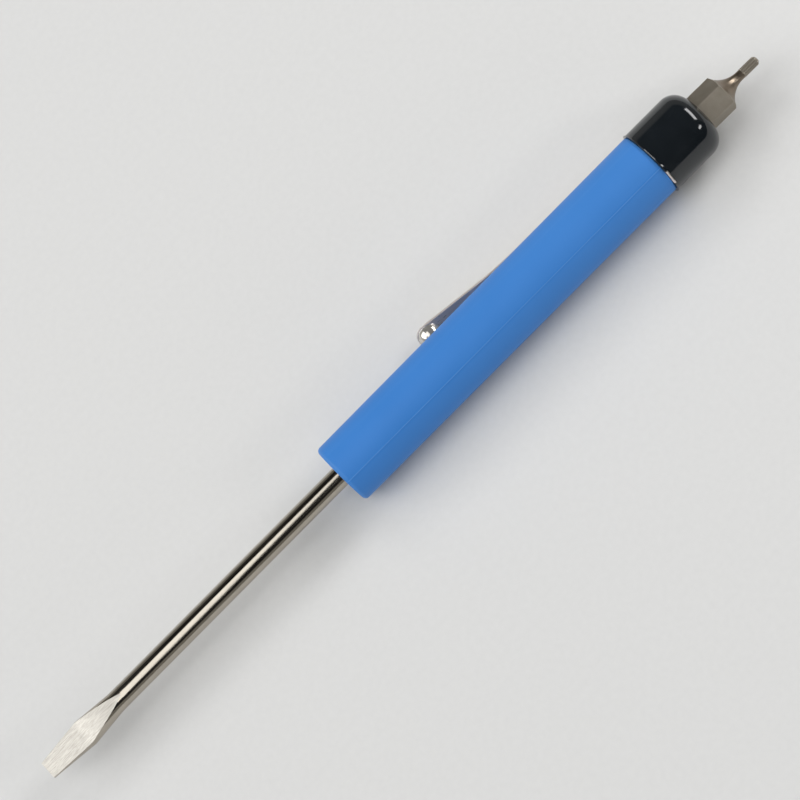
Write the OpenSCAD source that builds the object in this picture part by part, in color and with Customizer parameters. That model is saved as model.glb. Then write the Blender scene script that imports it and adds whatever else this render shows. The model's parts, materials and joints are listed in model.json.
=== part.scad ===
// A pocket screwdriver that lies on its side, on the rim of its cap and the edge of its clip.
// A slotted blade is moulded into a round plastic handle. An end cap with a hex socket is pressed
// into the handle's other end and traps the ring of a spring clip in a recess under its rim. A
// magnet at the bottom of the socket holds a hex bit with a six-lobe tip.
// Every piece is drawn upright on the tool's axis, with the handle's blade end at zero, the bit on
// top and the clip on the +X side. laid() then turns the tool on its side, along +X.

/* [Handle] */
// Length of the handle
handle_len = 74.5; // [60:0.5:100]
// Diameter of the handle at its blade end
handle_low_d = 11.85; // [10.5:0.05:12.5]
// Diameter of the handle at its cap end
handle_top_d = 12.25; // [11.5:0.05:12.6]
// Radius of the rounded edge at the blade end
handle_low_edge_r = 0.8; // [0.2:0.1:2]
// Radius of the rounded edge at the cap end, which the clip is bent over
handle_top_edge_r = 0.25; // [0.1:0.05:0.5]

/* [Blade] */
// Length of blade that stands out of the handle
blade_len = 70.4; // [50:0.2:120]
// Diameter of the round shank
shank_d = 3.85; // [3.2:0.05:4.4]
// Width across the screw tip
tip_w = 3.4; // [2.5:0.1:4.5]
// Thickness of the screw tip
tip_t = 0.85; // [0.5:0.05:1.2]
// Width across the widest part of the flare
flare_w = 5.2; // [4.6:0.1:7]
// Distance from the tip to the widest part of the flare
flare_at = 9; // [6:0.1:12]
// Distance from the tip to where the flare runs into the shank
flare_len = 16.2; // [13:0.1:25]
// Length of the two ground flats
grind_len = 18.1; // [14:0.1:30]
// Turn of the ground flats about the axis, counted from the clip
blade_turn = 125; // [0:1:180]
// Length of shank inside the handle
tang_len = 32; // [20:0.5:45]
// Width across the wings that key the tang into the handle
wing_w = 6.4; // [5:0.1:8]
// Thickness of the wings
wing_t = 1.8; // [1:0.1:3]
// Length of the wings along the shank
wing_len = 10; // [6:0.5:14]

/* [End cap] */
// Height of the cap above the handle
cap_h = 11.9; // [9:0.05:16]
// Diameter of the cap at its flared rim
cap_rim_d = 13.1; // [12.6:0.05:15]
// How far the rim flares out of the cap's side
cap_flare = 0.15; // [0.05:0.05:0.3]
// Height of the flare
cap_flare_h = 0.6; // [0.5:0.1:1.5]
// Diameter of the cap where its top starts to round over
cap_top_d = 12.75; // [11:0.05:15]
// Radius of the cap's rounded top
cap_edge_r = 3.2; // [1:0.1:4]
// Diameter of the spigot that is pressed into the handle
spigot_d = 9.2; // [8.6:0.1:10]
// Length of the spigot
spigot_len = 10; // [5:0.5:16]
// Depth of the hex socket
socket_depth = 11.7; // [8:0.1:14]
// Diameter of the disc magnet
magnet_d = 6; // [4:0.1:6.2]
// Thickness of the disc magnet
magnet_t = 2; // [1:0.1:3]

/* [Clip] */
// Width of the clip's strip
clip_w = 4.8; // [3.5:0.1:6]
// Thickness of the clip's strip
clip_t = 0.45; // [0.3:0.05:0.6]
// Diameter of the ring that the cap holds
ring_d = 11.4; // [11:0.05:12.6]
// Width of the ring's tail, which shows through the cap's rim opposite the clip
tail_w = 3.1; // [2:0.1:4.5]
// Distance from the tool's axis to the end of the tail
tail_reach = 6.4; // [5.8:0.1:6.8]
// Distance along the tool from the ring to the clip's end
clip_drop = 49; // [40:0.2:60]
// Length of the strip that lies along the handle
clip_leg = 25; // [20:0.5:32]
// Angle at which the clip's end stands off the handle
clip_splay = 11.2; // [6:0.1:14]
// Radius of the bend between the leg and the clip's end
clip_bend_r = 56; // [30:1:80]
// Corner radius of the clip's rounded end
clip_end_r = 2.3; // [0.5:0.1:2.5]
// Distance from the ring to the line at which the clip flexes
flex_at = 16; // [8:0.5:19]
// Radius of the pressed dimple where it meets the strip
dimple_r = 2.3; // [1:0.1:2.3]
// Height of the dimple, towards the handle
dimple_h = 2.2; // [0.6:0.1:2.3]
// Distance from the clip's end to the middle of the dimple
dimple_at = 2.4; // [2.4:0.1:6]

/* [Bit] */
// Length of the whole bit
bit_len = 25; // [22:0.5:32]
// Distance across the flats of the hex
bit_af = 6.35; // [5.5:0.05:6.5]
// Bevel on the foot of the hex
bit_foot_bevel = 0.6; // [0.3:0.1:1.2]
// Distance from the foot to the start of the straight neck
bit_neck_at = 20.9; // [19:0.1:24]
// Radius of the turned curve between the hex and the neck
bit_neck_r = 4.6; // [3.5:0.1:6]
// Diameter of the straight neck
bit_neck_d = 1.7; // [1.5:0.05:2.4]
// Diameter across the lobes of the tip
lobe_d = 1.76; // [1.6:0.02:2.5]
// Diameter across the flutes of the tip
flute_d = 1.27; // [1.1:0.01:1.5]
// Radius of each flute
flute_r = 0.3; // [0.2:0.01:0.35]
// Length of the fluted tip
flute_len = 3.5; // [1.5:0.1:4]
// Bevel on the end of the fluted tip
lobe_bevel = 0.4; // [0.1:0.05:0.5]
// Distance from the foot to the notches in the corners of the hex
detent_at = 8; // [5:0.1:10]
// Radius of the notches
detent_r = 1.6; // [0.8:0.1:2]
// Depth of the notches
detent_depth = 0.4; // [0.1:0.05:0.45]

/* [Fits] */
// Gap round a piece that is pressed or moulded in
press_gap = 0.02; // [0.01:0.01:0.05]
// Gap between the clip and the handle
clip_gap = 0.08; // [0.05:0.01:0.2]
// Gap on each flat of the hex socket
socket_gap = 0.1; // [0.02:0.01:0.1]
// Gap between the bit's foot and the magnet
foot_gap = 0.05; // [0.02:0.01:0.2]
// Gap between the clip's two halves, at the line where it flexes
flex_gap = 0.16; // [0.1:0.02:0.3]

/* [Hidden] */
$fn = 96;
// How far a cut runs past the faces that it opens
overrun = 1;
// Steps along a bend of the clip
bend_steps = 12;
// Lobes on the bit's tip
lobe_count = 6;
// Share of the wings' length that each of their tapered ends takes
wing_taper_share = 0.3;

// Heights along the tool
cap_top_z = handle_len + cap_h;
socket_z = cap_top_z - socket_depth;
bit_z = socket_z + foot_gap;
bit_end_z = bit_z + bit_len;

// The clip, seen from the side: its inner face, its bend and its end
leg_in = handle_top_d / 2 + clip_gap;
leg_out = leg_in + clip_t;
leg_low_z = handle_len - clip_leg;
bend_x = leg_in + clip_bend_r;
bend_low_z = leg_low_z - clip_bend_r * sin(clip_splay);
clip_end_z = handle_len - clip_drop;
clip_end_x = bend_x - clip_bend_r * cos(clip_splay) + (bend_low_z - clip_end_z) * tan(clip_splay);
flex_z = handle_len - flex_at;
dimple_ball_r = (dimple_r * dimple_r + dimple_h * dimple_h) / (2 * dimple_h);

// The lying tool turns until the clip's edge comes down to the floor beside the cap's rim. The edge
// touches where it runs into the clip's rounded end, and the end itself reaches furthest to the side
clip_reach = clip_end_x + clip_t * cos(clip_splay) - clip_end_r * sin(clip_splay);
rest_roll = asin(cap_rim_d / 2 / norm([clip_reach, clip_w / 2])) - atan2(clip_w / 2, clip_reach);
clip_side = clip_reach * cos(rest_roll) + (clip_w / 2 - clip_end_r) * sin(rest_roll)
    + clip_end_r * norm([cos(rest_roll) * sin(clip_splay), sin(rest_roll)]);

function across_corners(across_flats) = across_flats / cos(30);

function arc(centre, radius, from, to) = [
    for (step = [0 : bend_steps])
        let (angle = from + (to - from) * step / bend_steps)
            centre + radius * [cos(angle), sin(angle)]
];

// Turns a piece from the tool's upright axis to its place on the floor
module laid() {
    translate([(blade_len - bit_end_z) / 2, (cap_rim_d / 2 - clip_side) / 2, cap_rim_d / 2])
        rotate([-rest_roll, 0, 0])
            rotate(a = 120, v = [1, 1, 1])
                children();
}

// The outer half of a disc, which rounds one corner of a turned profile
module corner_disc(radius) {
    intersection() {
        circle(radius);
        translate([0, -radius])
            square([radius, 2 * radius]);
    }
}

// Half section of a turned, slightly conical barrel with both of its edges rounded
module barrel_section(low_r, top_r, length, low_edge_r, top_edge_r) {
    polygon([[0, low_edge_r], [low_r, low_edge_r], [top_r, length - top_edge_r], [0, length - top_edge_r]]);
    square([low_r - low_edge_r, length / 2]);
    translate([0, length / 2])
        square([top_r - top_edge_r, length / 2]);
    translate([low_r - low_edge_r, low_edge_r])
        corner_disc(low_edge_r);
    translate([top_r - top_edge_r, length - top_edge_r])
        corner_disc(top_edge_r);
}

// Flattened wings near the end of the tang, which stop the blade turning in the handle
module wings(gap) {
    wide_r = wing_w / 2 + gap;
    length = wing_len + 2 * gap;
    taper = wing_taper_share * wing_len;
    thick = wing_t + 2 * gap;
    translate([0, 0, tang_len - shank_d - wing_len - gap])
        intersection() {
            rotate_extrude()
                polygon([[0, 0], [wide_r, taper], [wide_r, length - taper], [0, length]]);
            translate([-thick / 2, -wide_r, 0])
                cube([thick, 2 * wide_r, length]);
        }
}

// The tang's space in the handle
module tang_space(gap) {
    translate([0, 0, -overrun])
        cylinder(d = shank_d + 2 * gap, h = tang_len + overrun + gap);
    wings(gap);
}

module handle() {
    color("royalblue")
        laid()
            difference() {
                rotate_extrude()
                    barrel_section(handle_low_d / 2, handle_top_d / 2, handle_len,
                                   handle_low_edge_r, handle_top_edge_r);
                rotate(blade_turn)
                    tang_space(press_gap);
                translate([0, 0, handle_len - spigot_len - press_gap])
                    cylinder(d = spigot_d + 2 * press_gap, h = spigot_len + overrun);
            }
}

// Half section of the blade as if it were turned: flared tip, shank and tang
module blade_section() {
    polygon([
        [0, -blade_len],
        [tip_w / 2, -blade_len],
        [flare_w / 2, flare_at - blade_len],
        [shank_d / 2, flare_len - blade_len],
        [shank_d / 2, tang_len],
        [0, tang_len]
    ]);
}

// Side view of the wedge that the two ground flats leave
module grind_wedge() {
    total = blade_len + tang_len;
    half_top = tip_t / 2 + (shank_d - tip_t) / 2 * total / grind_len;
    polygon([
        [-tip_t / 2, -blade_len],
        [tip_t / 2, -blade_len],
        [half_top, tang_len],
        [-half_top, tang_len]
    ]);
}

module blade() {
    color("gainsboro")
        laid()
            rotate(blade_turn) {
                intersection() {
                    rotate_extrude()
                        blade_section();
                    rotate([90, 0, 0])
                        linear_extrude(2 * flare_w, center = true)
                            grind_wedge();
                }
                wings(0);
            }
}

// Extrudes a side view of the clip's strip across its width
module strip(side_view) {
    rotate([90, 0, 0])
        linear_extrude(clip_w, center = true)
            polygon(side_view);
}

// Moves to the clip's end: +Z runs up along the strip and -X faces the handle
module at_clip_end() {
    translate([clip_end_x, 0, clip_end_z])
        rotate([0, -clip_splay, 0])
            children();
}

module clip_ring() {
    edge_in = [leg_in - handle_top_edge_r, handle_len - handle_top_edge_r];
    edge_out_r = handle_top_edge_r + clip_t;
    color("silver")
        laid()
            difference() {
                union() {
                    translate([0, 0, handle_len])
                        cylinder(d = ring_d, h = clip_t);
                    translate([-tail_reach, -tail_w / 2, handle_len])
                        cube([tail_reach, tail_w, clip_t]);
                    strip(concat(
                        [[0, handle_len]],
                        arc(edge_in, handle_top_edge_r, 90, 0),
                        [[leg_in, flex_z + flex_gap / 2], [leg_out, flex_z + flex_gap / 2]],
                        arc(edge_in, edge_out_r, 0, 90),
                        [[0, handle_len + clip_t]]
                    ));
                }
                translate([0, 0, handle_len - overrun])
                    cylinder(d = spigot_d + 2 * clip_gap, h = clip_t + 2 * overrun);
            }
}

// Outline of the arm, seen square to the strip, with its rounded end at zero
module arm_outline() {
    translate([-clip_w / 2, clip_end_r])
        square([clip_w, clip_drop]);
    translate([clip_end_r - clip_w / 2, 0])
        square([clip_w - 2 * clip_end_r, clip_drop]);
    for (side = [-1, 1])
        translate([side * (clip_w / 2 - clip_end_r), clip_end_r])
            circle(clip_end_r);
}

// Moves to the middle of the ball that the dimple is a part of: +Z points at the handle
module at_dimple() {
    at_clip_end()
        translate([dimple_ball_r - dimple_h, 0, dimple_at])
            rotate([0, -90, 0])
                children();
}

// Half section of the dimple on the handle's side, cut off half way through the strip
module dimple_section() {
    cut_z = dimple_ball_r - dimple_h - clip_t / 2;
    intersection() {
        circle(dimple_ball_r);
        translate([0, cut_z])
            square(2 * dimple_ball_r);
    }
}

module clip_arm() {
    past_end = [clip_end_x, clip_end_z] + overrun * [sin(clip_splay), -cos(clip_splay)];
    through = clip_t * [cos(clip_splay), sin(clip_splay)];
    bend_centre = [bend_x, leg_low_z];
    color("silver")
        laid()
            difference() {
                union() {
                    intersection() {
                        strip(concat(
                            [[leg_in, flex_z - flex_gap / 2]],
                            arc(bend_centre, clip_bend_r, 180, 180 + clip_splay),
                            [past_end, past_end + through],
                            arc(bend_centre, clip_bend_r - clip_t, 180 + clip_splay, 180),
                            [[leg_out, flex_z - flex_gap / 2]]
                        ));
                        at_clip_end()
                            rotate([90, 0, 90])
                                linear_extrude(clip_drop, center = true)
                                    arm_outline();
                    }
                    at_dimple()
                        rotate_extrude()
                            dimple_section();
                }
                at_dimple()
                    sphere(dimple_ball_r - clip_t);
            }
}

// Half section of the cap above the handle: a rim that flares out in a hollow curve, a slightly
// conical side and a rounded top, with a recess for the clip's ring
module cap_section() {
    low_r = cap_rim_d / 2 - cap_flare;
    top_r = cap_top_d / 2;
    flare_r = (cap_flare_h * cap_flare_h + cap_flare * cap_flare) / (2 * cap_flare);
    difference() {
        union() {
            difference() {
                square([cap_rim_d / 2, cap_flare_h]);
                translate([low_r + flare_r, cap_flare_h])
                    circle(flare_r);
            }
            polygon([
                [0, cap_flare_h],
                [low_r, cap_flare_h],
                [top_r, cap_h - cap_edge_r],
                [0, cap_h - cap_edge_r]
            ]);
        }
        square([ring_d / 2 + clip_gap, clip_t]);
    }
    translate([0, cap_h / 2])
        square([top_r - cap_edge_r, cap_h / 2]);
    translate([top_r - cap_edge_r, cap_h - cap_edge_r])
        corner_disc(cap_edge_r);
}

// A slot that lets a strip of the clip out under the cap's rim, on the +X side
module rim_slot(width) {
    translate([spigot_d / 2, -width / 2 - clip_gap, handle_len - overrun])
        cube([cap_rim_d, width + 2 * clip_gap, clip_t + overrun]);
}

module end_cap() {
    color("black")
        laid()
            difference() {
                rotate_extrude() {
                    translate([0, handle_len])
                        cap_section();
                    translate([0, handle_len - spigot_len])
                        square([spigot_d / 2, spigot_len + overrun]);
                }
                rim_slot(clip_w);
                rotate(180)
                    rim_slot(tail_w);
                translate([0, 0, socket_z])
                    linear_extrude(socket_depth + overrun)
                        circle(d = across_corners(bit_af + 2 * socket_gap), $fn = 6);
                translate([0, 0, socket_z - magnet_t])
                    cylinder(d = magnet_d + 2 * press_gap, h = magnet_t + overrun);
            }
}

module bit_magnet() {
    color("slategray")
        laid()
            translate([0, 0, socket_z - magnet_t])
                cylinder(d = magnet_d, h = magnet_t);
}

// Half section of the bit as if it were turned: bevelled foot, hex blank, curved neck and tip
module bit_section() {
    blank_r = across_corners(bit_af) / 2 + overrun;
    foot_r = across_corners(bit_af) / 2 - bit_foot_bevel;
    difference() {
        polygon([[0, 0], [foot_r, 0], [blank_r, blank_r - foot_r], [blank_r, bit_len], [0, bit_len]]);
        translate([bit_neck_d / 2 + bit_neck_r, bit_neck_at])
            circle(bit_neck_r);
        translate([bit_neck_d / 2, bit_neck_at])
            square([blank_r, bit_len]);
    }
    translate([0, bit_len - flute_len])
        polygon([
            [0, 0],
            [lobe_d / 2, 0],
            [lobe_d / 2, flute_len - lobe_bevel],
            [lobe_d / 2 - lobe_bevel, flute_len],
            [0, flute_len]
        ]);
}

// A straight flute with a round run-out at its lower end
module flute() {
    rotate_extrude() {
        square([flute_r, flute_len]);
        intersection() {
            circle(flute_r);
            translate([0, -flute_r])
                square(flute_r);
        }
    }
}

module driver_bit() {
    corner_r = across_corners(bit_af) / 2;
    color("dimgray")
        laid()
            translate([0, 0, bit_z])
                difference() {
                    intersection() {
                        rotate_extrude()
                            bit_section();
                        linear_extrude(bit_len)
                            circle(r = corner_r, $fn = 6);
                    }
                    rotate_extrude()
                        translate([corner_r - detent_depth + detent_r, detent_at])
                            circle(detent_r);
                    for (turn = [0 : lobe_count - 1])
                        rotate(turn * 360 / lobe_count + 180 / lobe_count)
                            translate([flute_d / 2 + flute_r, 0, bit_len - flute_len + flute_r])
                                flute();
                }
}

handle();
blade();
clip_ring();
clip_arm();
end_cap();
bit_magnet();
driver_bit();
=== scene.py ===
# %% [markdown]
# A pocket screwdriver that lies on a pale table.
#
# A round blue plastic handle holds a slotted steel blade at one end. At its other end a glossy black
# cap with a hex socket carries a small six-lobe bit, and traps the ring of a sprung pocket clip.
# The measured CAD model is loaded first and never moved. Each visible piece is then built again as a
# clean mesh on the CAD model's own sizes, with the finish of the real material.

import json
from math import asin, atan2, cos, degrees, pi, radians, sin, sqrt, tan

import bmesh
import bpy
import numpy as np
from mathutils import Matrix, Vector


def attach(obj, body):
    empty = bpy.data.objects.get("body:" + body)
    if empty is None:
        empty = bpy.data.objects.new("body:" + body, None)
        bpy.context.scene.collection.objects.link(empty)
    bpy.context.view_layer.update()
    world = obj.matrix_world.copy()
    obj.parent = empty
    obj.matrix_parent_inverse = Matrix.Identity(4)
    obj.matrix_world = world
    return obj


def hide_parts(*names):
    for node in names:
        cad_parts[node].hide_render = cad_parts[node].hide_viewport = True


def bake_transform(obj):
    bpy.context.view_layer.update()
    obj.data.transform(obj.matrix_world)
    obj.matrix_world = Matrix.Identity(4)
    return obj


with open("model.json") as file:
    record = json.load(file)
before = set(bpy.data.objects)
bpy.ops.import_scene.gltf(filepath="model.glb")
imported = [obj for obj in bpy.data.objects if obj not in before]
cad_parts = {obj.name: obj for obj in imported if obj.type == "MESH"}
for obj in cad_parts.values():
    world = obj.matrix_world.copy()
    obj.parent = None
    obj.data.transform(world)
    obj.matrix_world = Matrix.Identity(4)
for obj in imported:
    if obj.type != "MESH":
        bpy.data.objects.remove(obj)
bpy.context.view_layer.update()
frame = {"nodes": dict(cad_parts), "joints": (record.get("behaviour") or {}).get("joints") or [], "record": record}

# %% [markdown]
# The tool lies a little rolled, on the rim of its cap and the edge of its clip, so its own directions
# are read from the record instead of being guessed: the clip's hinge gives the sideways direction, and
# the mounts give the axis. Every piece is drawn upright on that axis in millimetres, with height zero
# where the blade enters the handle and the clip at angle zero. One matrix then lays it down.

# %% Find the tool's own directions
mounts = {mount["name"]: Vector(mount["pos_m"]) for mount in frame["record"]["mounts"]}
hinge = next(joint for joint in frame["joints"] if joint["name"] == "clip_flex")
along = Vector((1, 0, 0))
sideways = -Vector(hinge["axis"]).normalized()
clip_way = sideways.cross(along)
axis_start = Vector((mounts["handle_shoulder"].x, mounts["slotted_tip"].y, mounts["slotted_tip"].z))
MM = 0.001
turn_down = Matrix((clip_way, sideways, along)).transposed().to_4x4()
lay_down = Matrix.Translation(axis_start) @ turn_down @ Matrix.Scale(MM, 4)
print("clip points along", [round(part, 3) for part in clip_way])

# %% [markdown]
# Nearly everything on this tool was turned, moulded or swept along a line, so its skin is a stack of
# rows of points. One function joins the rows with quads. Where a row shrinks to a point or an edge, the
# doubled points are merged, so that no empty face is left. Edges sharper than a limit stay crisp.

# %% Helpers for skins of stacked rows
TURN_COLS = 144
FULL_TURN = np.linspace(0, 2 * pi, TURN_COLS, endpoint=False)
MERGE_MM = 1e-4


def round_rows(pairs, angles=FULL_TURN):
    """Rows of points for (radius, height) pairs round the axis. Both may change with the angle."""
    return [
        np.stack([radius * np.cos(angles), radius * np.sin(angles), height + 0 * angles], axis=1)
        for radius, height in pairs
    ]


def arc(centre, radius, start, end, steps):
    """Points of a flat arc, with angles in degrees."""
    turn = np.radians(np.linspace(start, end, steps + 1))
    return [(centre[0] + radius * cos(t), centre[1] + radius * sin(t)) for t in turn]


def skin_object(name, rows, finishes, patches=None, wrap=True, crisp=35):
    """Joins rows of points into one mesh, laid down in its place. patches picks each quad's finish."""
    rows = np.asarray(rows, float)
    count, across = rows.shape[:2]
    spans = across if wrap else across - 1
    faces = [
        (row * across + col, row * across + (col + 1) % across,
         (row + 1) * across + (col + 1) % across, (row + 1) * across + col)
        for row in range(count - 1)
        for col in range(spans)
    ]
    mesh = bpy.data.meshes.new(name)
    mesh.from_pydata(rows.reshape(-1, 3).tolist(), [], faces)
    if patches is not None:
        mesh.polygons.foreach_set("material_index", np.asarray(patches, int).ravel())
    tidy = bmesh.new()
    tidy.from_mesh(mesh)
    bmesh.ops.remove_doubles(tidy, verts=tidy.verts, dist=MERGE_MM)
    bmesh.ops.recalc_face_normals(tidy, faces=tidy.faces)
    tidy.to_mesh(mesh)
    tidy.free()
    mesh.transform(lay_down)
    for finish in finishes:
        mesh.materials.append(finish)
    made = bpy.data.objects.new(name, mesh)
    bpy.context.scene.collection.objects.link(made)
    shade(made, crisp)
    return made


def shade(piece, crisp):
    """Smooth shading that stays crisp along edges sharper than crisp degrees."""
    piece.data.shade_smooth()
    piece.data.set_sharp_from_angle(angle=radians(crisp))
    print(piece.name, "has", len(piece.data.polygons), "faces")


def dress(piece, body, slot, *nodes):
    """Hangs a piece on its CAD body and hides the CAD nodes that it stands for; its slot is not used."""
    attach(piece, body)
    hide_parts(*nodes)


# %% [markdown]
# Finishes are node trees. One small function adds a node, sets its sockets and links it, and another
# turns the sRGB hex value of a colour into the linear numbers that Blender works in. Patterns use the
# object's own coordinates, which are metres with X along the tool, so a pattern's scale is one divided
# by its real size.

# %% Helpers for finishes
def colour(hex_code):
    """Linear RGBA of an sRGB hex colour."""
    parts = [int(hex_code[at:at + 2], 16) / 255 for at in (1, 3, 5)]
    return [part / 12.92 if part <= 0.04045 else ((part + 0.055) / 1.055) ** 2.4 for part in parts] + [1]


def add(tree, kind, settings=None, links=None):
    """Adds one node, with settings by socket or property name and links by socket name."""
    node = tree.nodes.new("ShaderNode" + kind)
    for name, value in (settings or {}).items():
        if isinstance(name, int) or name in node.inputs:
            node.inputs[name].default_value = value
        else:
            setattr(node, name, value)
    for name, source in (links or {}).items():
        tree.links.new(source, node.inputs[name])
    return node


def new_finish(name, metallic, roughness):
    """A new material, its tree, its shader and its object coordinates. A pattern may take over a value."""
    finish = bpy.data.materials.new(name)
    finish.use_nodes = True
    shader = finish.node_tree.nodes["Principled BSDF"]
    shader.inputs["Metallic"].default_value = metallic
    shader.inputs["Roughness"].default_value = roughness
    place = add(finish.node_tree, "TexCoord").outputs["Object"]
    return finish, finish.node_tree, shader, place


def per_mm(size):
    """The scale of a pattern whose features are this many millimetres across."""
    return 1 / (size * MM)

# %% [markdown]
# The handle is moulded ABS, a common hard plastic, in a plain mid blue. A mould with a finely blasted
# surface gives it a satin look: soft, wide highlights with hardly any mirror in them. Real blasting marks
# are about 0.1 mm wide, too fine for this picture, so they are drawn 0.3 mm wide. Large, faint clouds
# of tone keep the blue from looking flat. Sharp edges and mould lines are painted paler, which is partly
# wear and partly a painted highlight.

# %% Satin blue ABS
satin_abs, tree, shader, place = new_finish("satin_moulded_abs", 0.0, 0.5)
clouds = add(tree, "TexNoise", {"Scale": per_mm(9), "Detail": 3.0}, {"Vector": place})
tones = add(
    tree, "Mix", {"data_type": "RGBA", 6: colour("#3476C0"), 7: colour("#3A7CC7")},
    {0: clouds.outputs["Fac"]},
)
# Sharp edges and mould lines are painted paler: partly wear, partly a painted highlight.
edges = add(tree, "NewGeometry").outputs["Pointiness"]
worn_and_highlit = add(tree, "MapRange", {"From Min": 0.51, "From Max": 0.54, "To Max": 0.75}, {"Value": edges})
tones = add(
    tree, "Mix", {"data_type": "RGBA", 7: colour("#6496D0")},
    {0: worn_and_highlit.outputs["Result"], 6: tones.outputs[2]},
)
tree.links.new(tones.outputs[2], shader.inputs["Base Color"])
grain = add(tree, "TexNoise", {"Scale": per_mm(0.3), "Detail": 2.0}, {"Vector": place})
sheen = add(
    tree, "MapRange", {"From Min": 0.3, "From Max": 0.7, "To Min": 0.44, "To Max": 0.54},
    {"Value": clouds.outputs["Fac"]},
)
tree.links.new(sheen.outputs["Result"], shader.inputs["Roughness"])
blasted = add(tree, "Bump", {"Strength": 0.25, "Distance": 0.01 * MM}, {"Height": grain.outputs["Fac"]})
tree.links.new(blasted.outputs["Normal"], shader.inputs["Normal"])
shader.inputs["IOR"].default_value = 1.54
shader.inputs["Specular IOR Level"].default_value = 0.2
print("made", satin_abs.name)

# %% [markdown]
# The handle itself is a plain barrel, a little thinner at the blade end. The two halves of its mould
# leave a fine raised line along each side. A turned profile gives the barrel, and extra columns
# beside each of the two lines let the radius rise there by a twentieth of a millimetre. The
# profile also runs inside: round the blade's tang and into the bore for the cap's spigot.

# %% The handle
HANDLE_LEN = 74.5
HANDLE_LOW_R, HANDLE_TOP_R = 5.925, 6.125
LOW_EDGE, TOP_EDGE = 0.8, 0.25
SHANK_R = 1.925
TANG_LEN = 32.0
WING_LOW, WING_LEN, WING_R = 18.15, 10.0, 3.2
SPIGOT_R, SPIGOT_LOW = 4.6, 64.5
FIT = 0.02
PARTING_ANGLE = 155.6
PARTING_HEIGHT, PARTING_WIDTH = 0.05, 0.1
RIDGE_REACH, RIDGE_COLS = 3, 13

parting_lines = np.radians([PARTING_ANGLE, PARTING_ANGLE - 180])
beside = np.linspace(-RIDGE_REACH, RIDGE_REACH, RIDGE_COLS) * PARTING_WIDTH / HANDLE_TOP_R
fine_turn = np.sort(np.concatenate([FULL_TURN - pi] + [line + beside for line in parting_lines]))
away = np.min([np.abs(fine_turn - line) for line in parting_lines], axis=0) * HANDLE_TOP_R
ridge = PARTING_HEIGHT * np.exp(-((away / PARTING_WIDTH) ** 2))

barrel = arc((HANDLE_LOW_R - LOW_EDGE, LOW_EDGE), LOW_EDGE, -90, 0, 10)
barrel += arc((HANDLE_TOP_R - TOP_EDGE, HANDLE_LEN - TOP_EDGE), TOP_EDGE, 0, 90, 6)
tang_bore = SHANK_R + FIT
inside_low = [
    (0, TANG_LEN + FIT), (tang_bore, TANG_LEN + FIT),
    (tang_bore, WING_LOW + WING_LEN + FIT), (WING_R + FIT, WING_LOW + WING_LEN + FIT),
    (WING_R + FIT, WING_LOW - FIT), (tang_bore, WING_LOW - FIT), (tang_bore, 0),
]
inside_top = [
    (SPIGOT_R + FIT, HANDLE_LEN), (SPIGOT_R + FIT, SPIGOT_LOW - FIT), (0, SPIGOT_LOW - FIT),
]
shell = [(radius + ridge, height) for radius, height in barrel]
handle = skin_object("handle_barrel", round_rows(inside_low + shell + inside_top, fine_turn), [satin_abs])
dress(handle, "tool", "handle_plastic", "handle")

# %% [markdown]
# The blade is one steel rod. Its round shank is bright plated, and plating over a drawn rod keeps faint
# streaks along it. The two flats at the tip are ground after plating, so they show bare steel with
# fine scratches that cross the blade at a slant. Both are metals, with the default IOR. The streaks
# are drawn 0.25 mm apart and the scratches 0.15 mm apart, both coarser than on the real tool.

# %% Plated and ground steel
plated_steel, tree, shader, place = new_finish("bright_plated_steel", 1.0, 0.2)
streaks_place = add(tree, "Mapping", {"Scale": (0.02, 1, 1)}, {"Vector": place})
streaks = add(
    tree, "TexNoise", {"Scale": per_mm(0.25), "Detail": 3.0}, {"Vector": streaks_place.outputs[0]},
)
spots = add(tree, "TexNoise", {"Scale": per_mm(2.5), "Detail": 4.0}, {"Vector": place})
metal_tones = add(
    tree, "Mix", {"data_type": "RGBA", 6: colour("#A69F93"), 7: colour("#B9B2A6")},
    {0: spots.outputs["Fac"]},
)
tree.links.new(metal_tones.outputs[2], shader.inputs["Base Color"])
polish = add(
    tree, "MapRange", {"From Min": 0.35, "From Max": 0.65, "To Min": 0.1, "To Max": 0.18},
    {"Value": streaks.outputs["Fac"]},
)
tree.links.new(polish.outputs["Result"], shader.inputs["Roughness"])
drawn = add(tree, "Bump", {"Strength": 0.15, "Distance": 0.01 * MM}, {"Height": streaks.outputs["Fac"]})
tree.links.new(drawn.outputs["Normal"], shader.inputs["Normal"])

ground_steel, tree, shader, place = new_finish("slant_ground_steel", 1.0, 0.38)
GRIND_SLANT = 10
scratch_turn = add(
    tree, "Mapping", {"Rotation": (0, radians(GRIND_SLANT), radians(GRIND_SLANT)), "Scale": (0.04, 1, 1)},
    {"Vector": place},
)
scratches = add(
    tree, "TexNoise", {"Scale": per_mm(0.15), "Detail": 4.0, "Roughness": 0.65},
    {"Vector": scratch_turn.outputs[0]},
)
bare_tones = add(
    tree, "Mix", {"data_type": "RGBA", 6: colour("#68655F"), 7: colour("#D3CFC7")},
    {0: scratches.outputs["Fac"]},
)
tree.links.new(bare_tones.outputs[2], shader.inputs["Base Color"])
scored = add(tree, "Bump", {"Strength": 0.5, "Distance": 0.01 * MM}, {"Height": scratches.outputs["Fac"]})
tree.links.new(scored.outputs["Normal"], shader.inputs["Normal"])
print("made", plated_steel.name, "and", ground_steel.name)

# %% [markdown]
# The tip was forged wide, then ground thin on both faces. Seen along the axis, each slice of it is a
# circle that is cut off by two flats. The flats are close together at the tip and move apart until they
# leave the round shank. There the grinder is lifted off slowly, so each flat ends in a long point with
# almost straight sides. So a ring is drawn as flat, round side, flat, round side, and the rings are
# stacked. Inside the handle the same ring spreads into two crimped wings.

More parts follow.
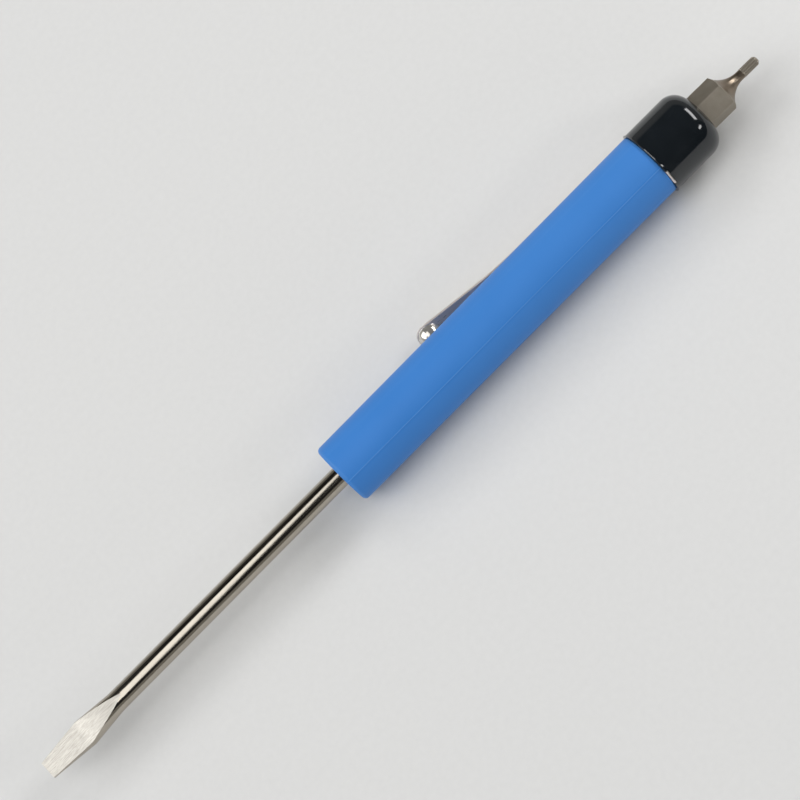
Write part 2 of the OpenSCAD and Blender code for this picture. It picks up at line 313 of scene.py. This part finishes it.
# %% The blade
BLADE_LEN = 70.4
TIP_HALF, TIP_HALF_THICK = 1.7, 0.425
FLARE_AT, FLARE_HALF, FLARE_LEN = 9.0, 2.6, 16.2
GRIND_LEN, RUN_OUT_BOW = 18.1, 0.72
BLADE_TURN = radians(125)
WING_HALF_THICK, WING_TAPER = 0.9, 3.0
FLAT_COLS, SIDE_COLS = 11, 24
SHANK_RINGS = (20, 35, 50, 65)
SOFT_CORNER = 0.04


def blade_radius(from_tip):
    """Radius of the forged rod before it is ground."""
    if from_tip < FLARE_AT:
        return TIP_HALF + (FLARE_HALF - TIP_HALF) * from_tip / FLARE_AT
    back = FLARE_HALF - (FLARE_HALF - SHANK_R) * (from_tip - FLARE_AT) / (FLARE_LEN - FLARE_AT)
    return (back + SHANK_R + sqrt((back - SHANK_R) ** 2 + SOFT_CORNER ** 2)) / 2


def blade_ring(from_tip):
    """One ring of the blade: two ground flats and two round sides, spread into wings in the handle."""
    radius = blade_radius(from_tip)
    flat = TIP_HALF_THICK + (SHANK_R - TIP_HALF_THICK) * min(from_tip, FLARE_AT) / GRIND_LEN
    if from_tip > FLARE_AT:
        left = np.clip((GRIND_LEN - from_tip) / (GRIND_LEN - FLARE_AT), 0, 1)
        flat = sqrt(radius ** 2 - (FLARE_HALF ** 2 - flat ** 2) * left ** (2 * RUN_OUT_BOW))
    reach = sqrt(radius ** 2 - flat ** 2)
    edge = atan2(reach, flat)
    level = np.linspace(-reach, reach, FLAT_COLS)
    bend = np.linspace(edge, pi - edge, SIDE_COLS + 2)[1:-1]
    side_thick, side_wide = radius * np.cos(bend), radius * np.sin(bend)
    thick = np.concatenate([flat + 0 * level, side_thick, -flat + 0 * level, -side_thick])
    wide = np.concatenate([level, side_wide, -level, -side_wide])
    height = from_tip - BLADE_LEN
    wing = np.interp(
        height,
        [WING_LOW, WING_LOW + WING_TAPER, WING_LOW + WING_LEN - WING_TAPER, WING_LOW + WING_LEN],
        [0, WING_R, WING_R, 0],
    )
    slab = np.minimum(
        WING_HALF_THICK / np.maximum(np.abs(thick), FIT), wing / np.maximum(np.abs(wide), FIT),
    )
    spread = np.maximum(slab, 1)
    return thick * spread, wide * spread, height


run_out = GRIND_LEN - (GRIND_LEN - FLARE_LEN) * np.linspace(1, 0, 16)[1:] ** 2
ground_steps = np.concatenate([
    np.linspace(0, FLARE_AT, 10), np.linspace(FLARE_AT, FLARE_LEN, 14)[1:], run_out,
])
wing_steps = WING_LOW + np.array([0, WING_TAPER, WING_LEN - WING_TAPER, WING_LEN])
shank_steps = np.concatenate([SHANK_RINGS, BLADE_LEN + wing_steps, [BLADE_LEN + TANG_LEN]])
blade_rows = []
for thick, wide, height in map(blade_ring, np.concatenate([ground_steps, shank_steps])):
    level = np.full_like(thick, height)
    turned_x = thick * cos(BLADE_TURN) - wide * sin(BLADE_TURN)
    turned_y = thick * sin(BLADE_TURN) + wide * cos(BLADE_TURN)
    blade_rows.append(np.stack([turned_x, turned_y, level], axis=1))
tip_wide = blade_ring(0)[1]
tip_middle = np.stack(
    [-tip_wide * sin(BLADE_TURN), tip_wide * cos(BLADE_TURN), 0 * tip_wide - BLADE_LEN], axis=1,
)
blade_rows = [tip_middle] + blade_rows + [blade_rows[-1] * (0, 0, 1)]
flat_cols = (np.arange(2 * (FLAT_COLS + SIDE_COLS)) % (FLAT_COLS + SIDE_COLS)) < FLAT_COLS - 1
patches = np.zeros((len(blade_rows) - 1, len(flat_cols)), int)
patches[:len(ground_steps), flat_cols] = 1
patches[0] = 1  # the narrow end of the tip is ground too
blade = skin_object("slotted_blade", blade_rows, [plated_steel, ground_steel], patches, crisp=20)
dress(blade, "tool", "blade_steel", "blade")

# %% [markdown]
# The clip is stamped from spring steel strip about half a millimetre thick, then zinc plated. Such plate
# is dipped to keep it bright, which leaves a thin milky film. So it is paler than the blade and duller,
# and the film, thicker along the strip's rolled grain, scatters a part of the light. That grain is drawn
# 0.4 mm wide, coarser than real. The die that presses the ball rubs most of the film off it, so the ball
# is a clearer mirror. The clip is made as it is in the factory: a flat strip follows the bends, its end
# is cut round, a ball is pressed into that end, and the sheet gets its thickness last, with slightly
# broken edges. The ring under the cap is joined to it.

# %% Zinc plated spring steel
spring_steel, tree, shader, place = new_finish("zinc_plated_spring_steel", 1.0, 0.3)
rolled_place = add(tree, "Mapping", {"Scale": (0.05, 1, 1)}, {"Vector": place})
rolled = add(tree, "TexNoise", {"Scale": per_mm(0.4), "Detail": 3.0}, {"Vector": rolled_place.outputs[0]})
sheet_tones = add(
    tree, "Mix", {"data_type": "RGBA", 6: colour("#D3C8C2"), 7: colour("#E6DDD8")},
    {0: rolled.outputs["Fac"]},
)
tree.links.new(sheet_tones.outputs[2], shader.inputs["Base Color"])
buffed = add(
    tree, "MapRange", {"From Min": 0.35, "From Max": 0.65, "To Min": 0.26, "To Max": 0.36},
    {"Value": rolled.outputs["Fac"]},
)
tree.links.new(buffed.outputs["Result"], shader.inputs["Roughness"])
film = add(
    tree, "MapRange", {"From Min": 0.35, "From Max": 0.65, "To Min": 0.55, "To Max": 0.7},
    {"Value": rolled.outputs["Fac"]},
)
tree.links.new(film.outputs["Result"], shader.inputs["Metallic"])

ball_steel, tree, shader, place = new_finish("die_polished_zinc_plate", 0.7, 0.15)
smears = add(tree, "TexNoise", {"Scale": per_mm(0.8), "Detail": 3.0}, {"Vector": place})
ball_tones = add(
    tree, "Mix", {"data_type": "RGBA", 6: colour("#C4BFB6"), 7: colour("#D6D2CA")},
    {0: smears.outputs["Fac"]},
)
tree.links.new(ball_tones.outputs[2], shader.inputs["Base Color"])
print("made", spring_steel.name, "and", ball_steel.name)

# %% The clip's strip, bent and dimpled
STRIP_T, STRIP_HALF = 0.45, 2.4
CLIP_GAP = 0.08
LEG_MID = HANDLE_TOP_R + CLIP_GAP + STRIP_T / 2
LEG_LOW = 49.5
SPLAY = 11.2
BEND_R = 56.0 - STRIP_T / 2
END_HEIGHT, END_CORNER_R = 25.5, 2.3
DIMPLE_AT, DIMPLE_RIM, BALL_ANGLE, LIP_R = 2.4, 2.37, radians(85.6), 0.3
RING_HEIGHT, STRIP_ROOT = HANDLE_LEN + STRIP_T / 2, 5.2
FINE_LEN, FINE_STEPS = 5.5, 44
STRIP_COLS = 41

top_bend_r = TOP_EDGE + STRIP_T / 2
top_bend = arc((LEG_MID - top_bend_r, HANDLE_LEN - TOP_EDGE), top_bend_r, 90, 0, 8)
long_bend = arc((LEG_MID + BEND_R, LEG_LOW), BEND_R, 180, 180 + SPLAY, 12)
leg = [(LEG_MID, height) for height in np.linspace(HANDLE_LEN - TOP_EDGE, LEG_LOW, 26)[1:-1]]
slope = np.array([sin(radians(SPLAY)), -cos(radians(SPLAY))])
bend_end = np.array(long_bend[-1])
arm_len = (bend_end[1] - END_HEIGHT - STRIP_T / 2 * sin(radians(SPLAY))) / cos(radians(SPLAY))
arm_at = np.concatenate([
    np.arange(1, arm_len - FINE_LEN), arm_len - np.linspace(FINE_LEN, 0, FINE_STEPS + 1),
])
arm = [tuple(bend_end + slope * step) for step in arm_at]
middle = np.array([(STRIP_ROOT, RING_HEIGHT)] + top_bend + leg + long_bend + arm)

steps = np.linalg.norm(np.diff(middle, axis=0), axis=1)
to_end = np.concatenate([np.cumsum(steps[::-1])[::-1], [0]])
forward = np.gradient(middle, axis=0)
forward /= np.linalg.norm(forward, axis=1)[:, None]
cut_back = np.clip(END_CORNER_R - to_end, 0, END_CORNER_R)
half_width = STRIP_HALF - END_CORNER_R + np.sqrt(END_CORNER_R ** 2 - cut_back ** 2)

shell_r = DIMPLE_RIM / sin(BALL_ANGLE)
ball_r = shell_r - LIP_R
strip_rows, in_dimple = [], []
for (x, height), (lean_x, lean_z), rest, half in zip(middle, forward, to_end, half_width):
    across = np.linspace(-half, half, STRIP_COLS)
    off = rest - DIMPLE_AT
    out = np.maximum(np.hypot(off, across), FIT)
    pressed = np.minimum(out / DIMPLE_RIM, 1) * shell_r * BALL_ANGLE
    on_lip = (shell_r * BALL_ANGLE - pressed) / LIP_R
    in_ball = pressed < ball_r * BALL_ANGLE
    new_out = np.where(in_ball, ball_r * np.sin(pressed / ball_r), DIMPLE_RIM - LIP_R * np.sin(on_lip))
    depth = np.where(
        in_ball,
        shell_r * (1 - cos(BALL_ANGLE)) - ball_r * (1 - np.cos(pressed / ball_r)),
        LIP_R * (1 - np.cos(on_lip)),
    )
    in_dimple.append(out < DIMPLE_RIM)
    squeeze = np.where(in_dimple[-1], new_out / out, 1)
    back = off * (squeeze - 1)
    strip_rows.append(np.stack([
        x - lean_x * back + lean_z * depth,
        across * squeeze,
        height - lean_z * back - lean_x * depth,
    ], axis=1))
in_dimple = np.array(in_dimple)
patches = in_dimple[1:, 1:] & in_dimple[:-1, :-1]
clip = skin_object("pocket_clip", strip_rows, [spring_steel, ball_steel], patches, wrap=False)

# %% The clip's thickness and its ring
RING_IN, RING_OUT = 4.68, 5.7
TAIL_HALF, TAIL_REACH = 1.55, 6.4
BROKEN_EDGE = 0.19


def bake_modifiers(piece):
    """Replaces a piece's mesh by what its modifiers make of it."""
    seen = piece.evaluated_get(bpy.context.evaluated_depsgraph_get())
    result = bpy.data.meshes.new_from_object(seen)
    piece.modifiers.clear()
    piece.data = result


sheet = clip.modifiers.new("sheet_thickness", "SOLIDIFY")
sheet.thickness = STRIP_T * MM
sheet.offset = 0
sheet.use_even_offset = True
broken = clip.modifiers.new("broken_edges", "BEVEL")
broken.width = BROKEN_EDGE * MM
broken.segments = 4
broken.angle_limit = radians(60)
bake_modifiers(clip)

ring_low, ring_top = HANDLE_LEN + FIT, HANDLE_LEN + STRIP_T - FIT
tail_corner, tail_root = atan2(TAIL_HALF, TAIL_REACH), asin(TAIL_HALF / RING_OUT)
tail_cols = pi + np.array([-tail_root, -tail_corner, tail_corner, tail_root])
ring_turn = np.sort(np.append(FULL_TURN, tail_cols))
from_tail = np.clip(np.abs(ring_turn - pi), FIT, pi / 2 - FIT)
tail_out = np.minimum(TAIL_REACH / np.cos(from_tail), TAIL_HALF / np.sin(from_tail))
ring_out = np.maximum(tail_out, RING_OUT)
ring_section = [
    (RING_IN, ring_low), (ring_out - BROKEN_EDGE, ring_low), (ring_out, ring_low + BROKEN_EDGE),
    (ring_out, ring_top - BROKEN_EDGE), (ring_out - BROKEN_EDGE, ring_top), (RING_IN, ring_top),
    (RING_IN, ring_low),
]
ring = skin_object("clip_ring_blank", round_rows(ring_section, ring_turn), [spring_steel])
joined = clip.modifiers.new("one_stamping", "BOOLEAN")
joined.operation = "UNION"
joined.object = ring
bake_modifiers(clip)
bpy.data.objects.remove(ring)
shade(clip, 35)
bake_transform(clip)
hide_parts("clip_ring", "clip_arm")

# %% [markdown]
# The end cap is glossy black ABS from a polished mould. Black plastic shows almost nothing of its own
# colour: the eye sees a dark mirror, sharp in the middle and stronger towards the edges, with the faint
# waviness that all thin glossy mouldings have. That waviness is about 4 mm long and only microns high.

# %% Glossy black ABS
gloss_abs, tree, shader, place = new_finish("polished_moulded_abs", 0.0, 0.1)
soot = add(tree, "TexNoise", {"Scale": per_mm(3), "Detail": 3.0}, {"Vector": place})
black_tones = add(
    tree, "Mix", {"data_type": "RGBA", 6: colour("#13171A"), 7: colour("#1A1E22")},
    {0: soot.outputs["Fac"]},
)
tree.links.new(black_tones.outputs[2], shader.inputs["Base Color"])
handled = add(
    tree, "MapRange", {"From Min": 0.4, "From Max": 0.7, "To Min": 0.07, "To Max": 0.15},
    {"Value": soot.outputs["Fac"]},
)
tree.links.new(handled.outputs["Result"], shader.inputs["Roughness"])
waves = add(tree, "TexNoise", {"Scale": per_mm(4), "Detail": 1.0}, {"Vector": place})
wavy = add(tree, "Bump", {"Strength": 0.4, "Distance": 0.02 * MM}, {"Height": waves.outputs["Fac"]})
tree.links.new(wavy.outputs["Normal"], shader.inputs["Normal"])
shader.inputs["IOR"].default_value = 1.54
print("made", gloss_abs.name)

# %% [markdown]
# The cap is a turned outside with a six-sided hole. At each angle the wall of the hole stands at another
# radius, so the rounded top is drawn from the outside in and ends wherever the hole cuts it, with a
# slightly rounded lip. The rim flares out a little in a hollow curve. Under it a recess takes the clip's
# ring, and two slots let out the clip's leg and the ring's tail. A spigot goes into the handle, and below
# the socket there is a round pocket for the magnet.

# %% The end cap
CAP_TOP = 86.4
RIM_R, RIM_EDGE, FLARE, FLARE_HEIGHT = 6.55, 0.05, 0.15, 0.6
RECESS_R = RING_OUT + CLIP_GAP
CAP_TOP_R, CAP_EDGE = 6.375, 3.2
SOCKET_LOW, SOCKET_FLAT = 74.7, 3.275
MAGNET_R, MAGNET_LOW = 3.02, 72.7
LIP = 0.18
SPIGOT_BEVEL = 0.4


def hex_radius(flat, angles=FULL_TURN):
    """Radius of a hexagon at each angle, with a corner at angle zero."""
    return flat / np.cos(np.mod(angles, pi / 3) - pi / 6)


socket_wall = hex_radius(SOCKET_FLAT)
dome_start = CAP_TOP - CAP_EDGE
dome_r = CAP_TOP_R - CAP_EDGE
dome_end = np.arccos((socket_wall + LIP - dome_r) / CAP_EDGE)
lip_height = dome_start + CAP_EDGE * np.sin(dome_end)
cap_pairs = [
    (0, SPIGOT_LOW), (SPIGOT_R - SPIGOT_BEVEL, SPIGOT_LOW), (SPIGOT_R, SPIGOT_LOW + SPIGOT_BEVEL),
]
recess_top = HANDLE_LEN + STRIP_T
cap_pairs += [(SPIGOT_R, recess_top), (RECESS_R, recess_top), (RECESS_R, HANDLE_LEN)]
cap_pairs += arc((RIM_R - RIM_EDGE, HANDLE_LEN + RIM_EDGE), RIM_EDGE, -90, 0, 3)
hollow_r = (FLARE_HEIGHT ** 2 + FLARE ** 2) / (2 * FLARE)
hollow_start = 180 + degrees(asin((FLARE_HEIGHT - 2 * RIM_EDGE) / hollow_r))
cap_pairs += arc((RIM_R - FLARE + hollow_r, HANDLE_LEN + FLARE_HEIGHT), hollow_r, hollow_start, 180, 8)
cap_pairs += [
    (dome_r + CAP_EDGE * np.cos(share * dome_end), dome_start + CAP_EDGE * np.sin(share * dome_end))
    for share in np.linspace(0, 1, 20)
]
cap_pairs += [
    (socket_wall + LIP * (1 - sin(turn)), lip_height - LIP * (1 - cos(turn)))
    for turn in np.radians([30, 60, 90])
]
cap_pairs += [
    (socket_wall, SOCKET_LOW), (MAGNET_R, SOCKET_LOW), (MAGNET_R, MAGNET_LOW), (0, MAGNET_LOW),
]
cap = skin_object("end_cap_moulding", round_rows(cap_pairs), [gloss_abs], crisp=30)
for half, side in ((STRIP_HALF + CLIP_GAP, 1), (TAIL_HALF + CLIP_GAP, -1)):
    corners = [(half, SPIGOT_LOW), (half, recess_top), (-half, recess_top), (-half, SPIGOT_LOW)]
    section = np.array([(0, y, height) for y, height in corners])
    centre = section.mean(axis=0) + 0 * section
    near, far = np.array((side * RECESS_R, 0, 0)), np.array((side * 2 * RIM_R, 0, 0))
    slot_rows = [centre + near, section + near, section + far, centre + far]
    slot = skin_object("rim_slot", slot_rows, [gloss_abs])
    cut = cap.modifiers.new("rim_slot", "BOOLEAN")
    cut.operation = "DIFFERENCE"
    cut.object = slot
    bake_modifiers(cap)
    bpy.data.objects.remove(slot)
shade(cap, 30)
dress(cap, "tool", "cap_plastic", "end_cap")

# %% [markdown]
# The bit is tool steel. After hardening it is cleaned by blasting with fine beads, so it is a dull, warm
# grey metal without clear reflections, and its edges are a little brighter where they rub. The blasted
# pits are near 0.05 mm wide and are drawn 0.2 mm wide, so that they show. The neck was turned on a lathe,
# which leaves rings about 0.12 mm apart, and is smoother, with a narrow streak of light. Its steel is
# coloured darker and browner than the rest of the bit as painted shade.

# %% Turned and blasted tool steel
turned_steel, tree, shader, place = new_finish("lathe_turned_tool_steel", 1.0, 0.34)
rings_place = add(tree, "Mapping", {"Scale": (1, 0.1, 0.1)}, {"Vector": place})
rings = add(tree, "TexNoise", {"Scale": per_mm(0.12), "Detail": 2.0}, {"Vector": rings_place.outputs[0]})
# The neck's steel is darker and browner than the blasted steel: painted shade.
shaded_neck_tones = add(
    tree, "Mix", {"data_type": "RGBA", 6: colour("#776B5C"), 7: colour("#94887A")},
    {0: rings.outputs["Fac"]},
)
tree.links.new(shaded_neck_tones.outputs[2], shader.inputs["Base Color"])
cut_marks = add(tree, "Bump", {"Strength": 0.2, "Distance": 0.01 * MM}, {"Height": rings.outputs["Fac"]})
tree.links.new(cut_marks.outputs["Normal"], shader.inputs["Normal"])

tool_steel, tree, shader, place = new_finish("bead_blasted_tool_steel", 1.0, 0.5)
stain = add(tree, "TexNoise", {"Scale": per_mm(2), "Detail": 5.0}, {"Vector": place})
dull_tones = add(
    tree, "Mix", {"data_type": "RGBA", 6: colour("#918A7E"), 7: colour("#AEA699")},
    {0: stain.outputs["Fac"]},
)
edges = add(tree, "NewGeometry").outputs["Pointiness"]
rubbed = add(tree, "MapRange", {"From Min": 0.53, "From Max": 0.62, "To Max": 0.6}, {"Value": edges})
dull_tones = add(
    tree, "Mix", {"data_type": "RGBA", 7: colour("#BDB6AA")},
    {0: rubbed.outputs["Result"], 6: dull_tones.outputs[2]},
)
tree.links.new(dull_tones.outputs[2], shader.inputs["Base Color"])
pits = add(tree, "TexNoise", {"Scale": per_mm(0.2), "Detail": 2.0}, {"Vector": place})
pitted = add(tree, "Bump", {"Strength": 0.5, "Distance": 0.01 * MM}, {"Height": pits.outputs["Fac"]})
tree.links.new(pitted.outputs["Normal"], shader.inputs["Normal"])
print("made", turned_steel.name, "and", tool_steel.name)

# %% [markdown]
# A bit starts as a hexagonal bar. A lathe turns one end down to a thin neck along a hollow curve, a round
# groove is cut in the corners for the holder's catch, and six flutes are cut into the tip. At any angle
# and height the steel that is left is the least of those radii, so the whole bit is one stack of
# rows whose radius is a minimum. Rows lie close together where the cuts meet. A bit is loose in its
# socket by a tenth of a millimetre all round, so it leans, here by almost a degree.

# %% The driver bit
BIT_LOW, BIT_LEN = 74.75, 25.0
BIT_FLAT, BIT_CORNER_ROUND = 3.175, 0.07
FOOT_BEVEL = 0.6
NECK_AT, NECK_CURVE_R, NECK_R = 20.9, 4.6, 0.85
CATCH_AT, CATCH_R, CATCH_DEPTH = 8.0, 1.6, 0.4
LOBE_R, FLUTE_LOW_R, FLUTE_R, FLUTE_LEN = 0.88, 0.635, 0.3, 3.5
NECK_LOW, NECK_TOP = NECK_AT - NECK_CURVE_R, BIT_LEN - FLUTE_LEN
TIP_BEVEL = 0.4
LEAN, LEAN_TOWARDS, LEAN_ABOUT = radians(0.85), radians(230), 5.8
FOOT_ROWS, BAR_ROWS, NECK_ROWS = (0, 0.3, 0.6, 0.8, 1, 3, 5), (11, 14, 16.4), (21.2, 21.49, 21.51)
CORNERS_FROM, CORNERS_TO, CURVE_FROM = 16.6, 16.95, 17.1
FLUTES_FROM, FLUTES_TO, LOBES_FROM = 21.54, 21.8, 22.1


def bit_radius(height):
    """Radius of the bit at each angle, at one height above its foot."""
    corner = BIT_FLAT / cos(pi / 6)
    left = np.minimum(hex_radius(BIT_FLAT), corner - BIT_CORNER_ROUND)
    left = np.minimum(left, corner - FOOT_BEVEL + height)
    if abs(height - CATCH_AT) < CATCH_R:
        catch_rise = CATCH_R - sqrt(CATCH_R ** 2 - (height - CATCH_AT) ** 2)
        left = np.minimum(left, corner - CATCH_DEPTH + catch_rise)
    if NECK_LOW < height < NECK_AT:
        left = np.minimum(left, NECK_R + NECK_CURVE_R - sqrt(NECK_CURVE_R ** 2 - (NECK_AT - height) ** 2))
    if NECK_AT <= height:
        left = np.minimum(left, NECK_R if height < NECK_TOP else LOBE_R)
    if height > NECK_TOP:
        rise = np.clip(NECK_TOP + FLUTE_R - height, 0, FLUTE_R)
        cutter = sqrt(FLUTE_R ** 2 - rise ** 2)
        from_flute = np.mod(FULL_TURN, pi / 3) - pi / 6
        far = FLUTE_LOW_R + FLUTE_R
        miss = np.clip(cutter ** 2 - (far * np.sin(from_flute)) ** 2, 0, None)
        cut = np.where(miss > 0, far * np.cos(from_flute) - np.sqrt(miss), LOBE_R)
        left = np.minimum(left, cut)
        left = np.minimum(left, LOBE_R - TIP_BEVEL + (BIT_LEN - height))
    return left


bit_steps = np.concatenate([
    FOOT_ROWS,
    np.linspace(CATCH_AT - CATCH_R, CATCH_AT + CATCH_R, 17),
    BAR_ROWS,
    np.linspace(CORNERS_FROM, CORNERS_TO, 13),
    np.linspace(CURVE_FROM, NECK_AT, 26),
    NECK_ROWS,
    np.linspace(FLUTES_FROM, FLUTES_TO, 10),
    np.linspace(LOBES_FROM, BIT_LEN - TIP_BEVEL, 8),
    np.linspace(BIT_LEN - TIP_BEVEL, BIT_LEN, 5)[1:],
])
bit_pairs = [(0, BIT_LOW)]
bit_pairs += [(bit_radius(height), BIT_LOW + height) for height in bit_steps]
bit_pairs += [(0, BIT_LOW + BIT_LEN)]
bit_rows = np.array(round_rows(bit_pairs))
lean = (bit_rows[:, :, 2:] - BIT_LOW - LEAN_ABOUT) * tan(LEAN)
bit_rows[:, :, :2] += lean * np.array([cos(LEAN_TOWARDS), sin(LEAN_TOWARDS)])
turned = [(NECK_LOW < height < NECK_TOP) & (bit_radius(height) < BIT_FLAT) for height in bit_steps]
patches = np.array([turned[0]] + turned)
bit = skin_object("six_lobe_bit", bit_rows, [tool_steel, turned_steel], patches, crisp=32)
dress(bit, "bit", "bit_steel", "driver_bit")

# %% [markdown]
# The magnet at the bottom of the socket hardly shows, so its CAD disc stays. It gets what such magnets
# have: a thin coat of nickel, which is a slightly yellow, satin metal.

# %% Nickel plated magnet
nickel, tree, shader, place = new_finish("satin_nickel_plate", 1.0, 0.28)
tarnish = add(tree, "TexNoise", {"Scale": per_mm(1.5), "Detail": 3.0}, {"Vector": place})
nickel_tones = add(
    tree, "Mix", {"data_type": "RGBA", 6: colour("#A8A39A"), 7: colour("#C3BFB6")},
    {0: tarnish.outputs["Fac"]},
)
tree.links.new(nickel_tones.outputs[2], shader.inputs["Base Color"])
frame["nodes"]["bit_magnet"].material_slots[0].material = nickel
print("made", nickel.name)

# %% [markdown]
# The table is a sheet of pale matt paper, and its faint fibres keep it from looking computed.

# %% The pale table
paper, tree, shader, place = new_finish("matt_white_paper", 0.0, 0.85)
fibres = add(tree, "TexNoise", {"Scale": per_mm(1.2), "Detail": 4.0}, {"Vector": place})
paper_tones = add(
    tree, "Mix", {"data_type": "RGBA", 6: colour("#D0D0CF"), 7: colour("#D6D6D5")},
    {0: fibres.outputs["Fac"]},
)
tree.links.new(paper_tones.outputs[2], shader.inputs["Base Color"])
TABLE_HALF = 1.5
table_mesh = bpy.data.meshes.new("table")
table_mesh.from_pydata(
    [(-TABLE_HALF, -TABLE_HALF, 0), (TABLE_HALF, -TABLE_HALF, 0), (TABLE_HALF, TABLE_HALF, 0),
     (-TABLE_HALF, TABLE_HALF, 0)],
    [], [(0, 1, 2, 3)],
)
table_mesh.materials.append(paper)
table = bpy.data.objects.new("table", table_mesh)
bpy.context.scene.collection.objects.link(table)
print("made a table", 2 * TABLE_HALF, "m wide")

# %% [markdown]
# The camera looks down at the tool from the side away from the clip, square to the tool's axis, and is
# turned so that the tool runs up to the right. It is a long lens from less than half a metre, so the
# tool is hardly foreshortened. The view's own three directions are worked out from the clip's.

# %% The camera
VIEW_FROM_CLIP = radians(140)
VIEW_TURN = radians(45.23)
LOOK_ALONG, LOOK_ASIDE = 16.14, 1.93
PIXELS_PER_MM, FOCAL_PIXELS, IMAGE_PIXELS = 5.9, 2650, 800
towards_camera = clip_way * cos(VIEW_FROM_CLIP) + sideways * sin(VIEW_FROM_CLIP)
towards_clip = clip_way * sin(VIEW_FROM_CLIP) - sideways * cos(VIEW_FROM_CLIP)
view_right = along * cos(VIEW_TURN) - towards_clip * sin(VIEW_TURN)
view_up = along * sin(VIEW_TURN) + towards_clip * cos(VIEW_TURN)
look_at = axis_start + (along * LOOK_ALONG + towards_clip * LOOK_ASIDE) * MM
distance = FOCAL_PIXELS / PIXELS_PER_MM * MM
lens = bpy.data.cameras.new("view")
lens.sensor_width = 36
lens.lens = lens.sensor_width * FOCAL_PIXELS / IMAGE_PIXELS
camera = bpy.data.objects.new("view", lens)
view_frame = Matrix((view_right, view_up, towards_camera)).transposed().to_4x4()
camera.matrix_world = Matrix.Translation(look_at + towards_camera * distance) @ view_frame
bpy.context.scene.collection.objects.link(camera)
bpy.context.scene.camera = camera
print("camera is", round(degrees(asin(towards_camera.z)), 1), "degrees above the table")

# %% [markdown]
# The main lamp is a long oval one over the blade, turned a little, on the clip's side. It gives the shank
# its bright line, which narrows towards the handle. A wide lamp past the blade's tip fills the rest with
# light. Two narrow bright ones near the bit put two sparks on the cap's rounded top. Two weak ones, one
# on each side, brighten the handle's sides and are hidden from mirrors. The room has a dark ceiling and
# pale walls, so polished steel shows a dark line beside each bright one, and grey edges. Past the bit
# there is a dark doorway, which keeps the far side of the black cap black.

# %% The lamps and the room
def soft_lamp(name, up, clipwards, bitwards, width, length, radiance, shape="RECTANGLE", turn=0):
    """A lamp at metres from the middle of the view, aimed back at it and turned by some degrees."""
    back = towards_camera * up + towards_clip * clipwards + along * bitwards
    place = look_at + back
    back.normalize()
    level = (along - back * along.dot(back)).normalized()
    data = bpy.data.lights.new(name, "AREA")
    data.shape = shape
    data.size, data.size_y = length, width
    data.energy = radiance * pi * length * width * (pi / 4 if shape == "ELLIPSE" else 1)
    lamp = bpy.data.objects.new(name, data)
    rows = Matrix((level, back.cross(level), back)).transposed().to_4x4()
    lamp.matrix_world = Matrix.Translation(place) @ rows @ Matrix.Rotation(radians(turn), 4, "Z")
    bpy.context.scene.collection.objects.link(lamp)
    print(name, "lamp of", round(data.energy, 2), "W")
    return lamp


# Each lamp: up, clipwards, bitwards, width and length in metres, then its radiance.
soft_lamp("main", 0.80, 0.152, -0.275, 1.155, 0.391, 2.0, "ELLIPSE", -18.4)
soft_lamp("fill", 0.464, 0.516, -0.72, 0.90, 0.80, 3.4)
soft_lamp("spark_bar", 0.31, 0.154, 0.495, 0.40, 0.15, 9.0)
soft_lamp("spark_dot", 0.440, -0.264, 0.385, 0.07, 0.22, 10.0)
left = soft_lamp("left_side", 0.225, 0.556, 0.055, 0.20, 0.16, 5.0)
right = soft_lamp("right_side", 0.40, -0.573, 0.0, 0.24, 0.60, 1.6)
for lamp in (left, right):
    lamp.visible_glossy = False

WALL, CEILING = 0.28, 0.015
WALL_TOP, CEILING_LOW = radians(23), radians(30)
DOOR_ALONG, DOOR_ACROSS, DOOR_SIDE = 0.6, 0.8, radians(55)
DOOR_HALF, DOOR_FRAME = radians(28), radians(36)
room = bpy.data.worlds.new("room")
room.use_nodes = True
tree = room.node_tree
way = add(tree, "TexCoord").outputs["Generated"]
rise = add(tree, "SeparateXYZ", links={"Vector": way}).outputs["Z"]
shade_of = add(
    tree, "MapRange",
    {"From Min": sin(WALL_TOP), "From Max": sin(CEILING_LOW), "To Min": WALL, "To Max": CEILING},
    {"Value": rise},
)
door_across = towards_camera * cos(DOOR_SIDE) - towards_clip * sin(DOOR_SIDE)
doorway = along * DOOR_ALONG + door_across * DOOR_ACROSS
nearness = add(tree, "VectorMath", {"operation": "DOT_PRODUCT", 1: doorway}, {0: way})
outside = add(
    tree, "MapRange",
    {"From Min": cos(DOOR_FRAME), "From Max": cos(DOOR_HALF), "To Min": 1.0, "To Max": 0.0},
    {"Value": nearness.outputs["Value"]},
)
brightness = add(
    tree, "Math", {"operation": "MULTIPLY"},
    {0: shade_of.outputs["Result"], 1: outside.outputs["Result"]},
)
tree.links.new(brightness.outputs["Value"], tree.nodes["Background"].inputs["Strength"])
tree.nodes["Background"].inputs["Color"].default_value = colour("#FFFCF5")
bpy.context.scene.world = room
bpy.context.scene.view_settings.view_transform = "Standard"
print("walls", WALL, "and ceiling", CEILING)
